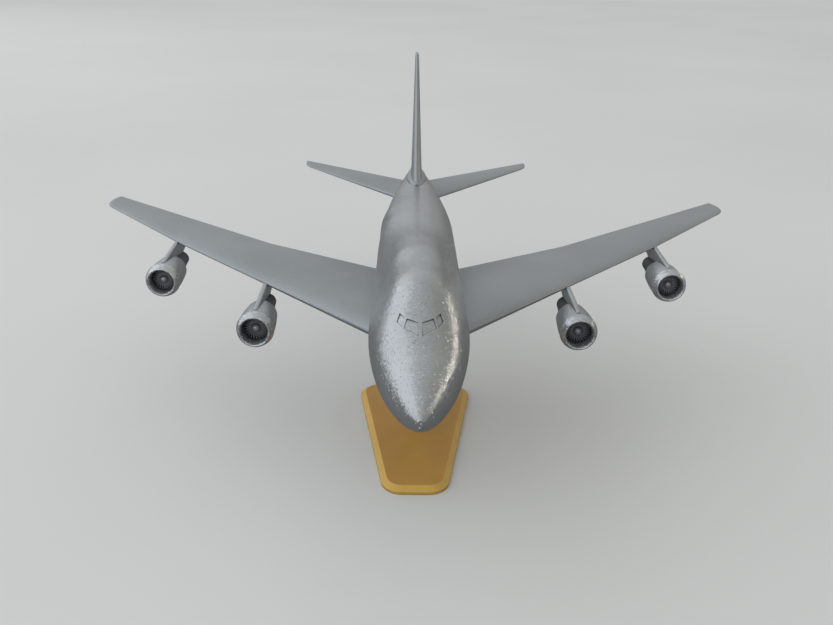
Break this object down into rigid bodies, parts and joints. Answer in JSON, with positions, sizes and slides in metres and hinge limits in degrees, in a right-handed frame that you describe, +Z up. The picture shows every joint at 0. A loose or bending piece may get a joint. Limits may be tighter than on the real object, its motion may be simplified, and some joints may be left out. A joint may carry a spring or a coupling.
{
  "type": "desktop aircraft model",
  "caption": "Desktop display model of a short-bodied wide-body airliner with an upper-deck hump, on a bevelled trapezoid stand; it lifts off the stand arm and its engine fans spin.",
  "frame": {"origin": "centre of the underside of the stand base", "axes": "+Z up, -Y toward the aircraft's nose, +X toward the port wing tip"},
  "size_m": [0.295, 0.2856, 0.1386],
  "materials": {
    "silver_print": "satin silver-grey printed plastic with fine layer lines",
    "engine_print": "satin darker grey printed plastic",
    "gold_print": "satin ochre-gold printed plastic",
    "pin_filament": "plain round filament",
    "steel_pin": "drawn wire"
  },
  "bodies": {
    "stand": {"stand_base": "gold_print", "stand_arm": "gold_print"},
    "airframe": {"nose_section": "silver_print", "centre_section": "silver_print", "tail_section": "silver_print", "port_wing": "silver_print", "starboard_wing": "silver_print", "wing_joiner": "silver_print", "port_tailplane": "silver_print", "starboard_tailplane": "silver_print", "tailplane_joiner": "pin_filament", "fin": "silver_print", "port_inner_pylon": "silver_print", "port_inner_intake_lip": "silver_print", "port_inner_cowl": "silver_print", "port_inner_engine_core": "engine_print", "port_inner_exhaust_plug": "engine_print", "port_outer_pylon": "silver_print", "port_outer_intake_lip": "silver_print", "port_outer_cowl": "silver_print", "port_outer_engine_core": "engine_print", "port_outer_exhaust_plug": "engine_print", "starboard_inner_pylon": "silver_print", "starboard_inner_intake_lip": "silver_print", "starboard_inner_cowl": "silver_print", "starboard_inner_engine_core": "engine_print", "starboard_inner_exhaust_plug": "engine_print", "starboard_outer_pylon": "silver_print", "starboard_outer_intake_lip": "silver_print", "starboard_outer_cowl": "silver_print", "starboard_outer_engine_core": "engine_print", "starboard_outer_exhaust_plug": "engine_print", "fan_axles": "steel_pin"},
    "port_inner_fan": {"port_inner_fan": "engine_print"},
    "port_outer_fan": {"port_outer_fan": "engine_print"},
    "starboard_inner_fan": {"starboard_inner_fan": "engine_print"},
    "starboard_outer_fan": {"starboard_outer_fan": "engine_print"}
  },
  "joints": [
    {"name": "lift_off", "type": "slide", "parent": "stand", "child": "airframe", "axis": [0, 0, 1], "range_m": [0, 0.06]},
    {"name": "port_inner_fan_spin", "type": "hinge", "parent": "airframe", "child": "port_inner_fan", "pos_m": [0.0607, -0.02233, 0.06442], "axis": [0, 0.997, -0.0778], "continuous": true},
    {"name": "port_outer_fan_spin", "type": "hinge", "parent": "airframe", "child": "port_outer_fan", "pos_m": [0.1059, 0.01783, 0.06625], "axis": [0, 0.997, -0.0778], "continuous": true},
    {"name": "starboard_inner_fan_spin", "type": "hinge", "parent": "airframe", "child": "starboard_inner_fan", "pos_m": [-0.0607, -0.02233, 0.06442], "axis": [0, 0.997, -0.0778], "continuous": true},
    {"name": "starboard_outer_fan_spin", "type": "hinge", "parent": "airframe", "child": "starboard_outer_fan", "pos_m": [-0.1059, 0.01783, 0.06625], "axis": [0, 0.997, -0.0778], "continuous": true}
  ]
}
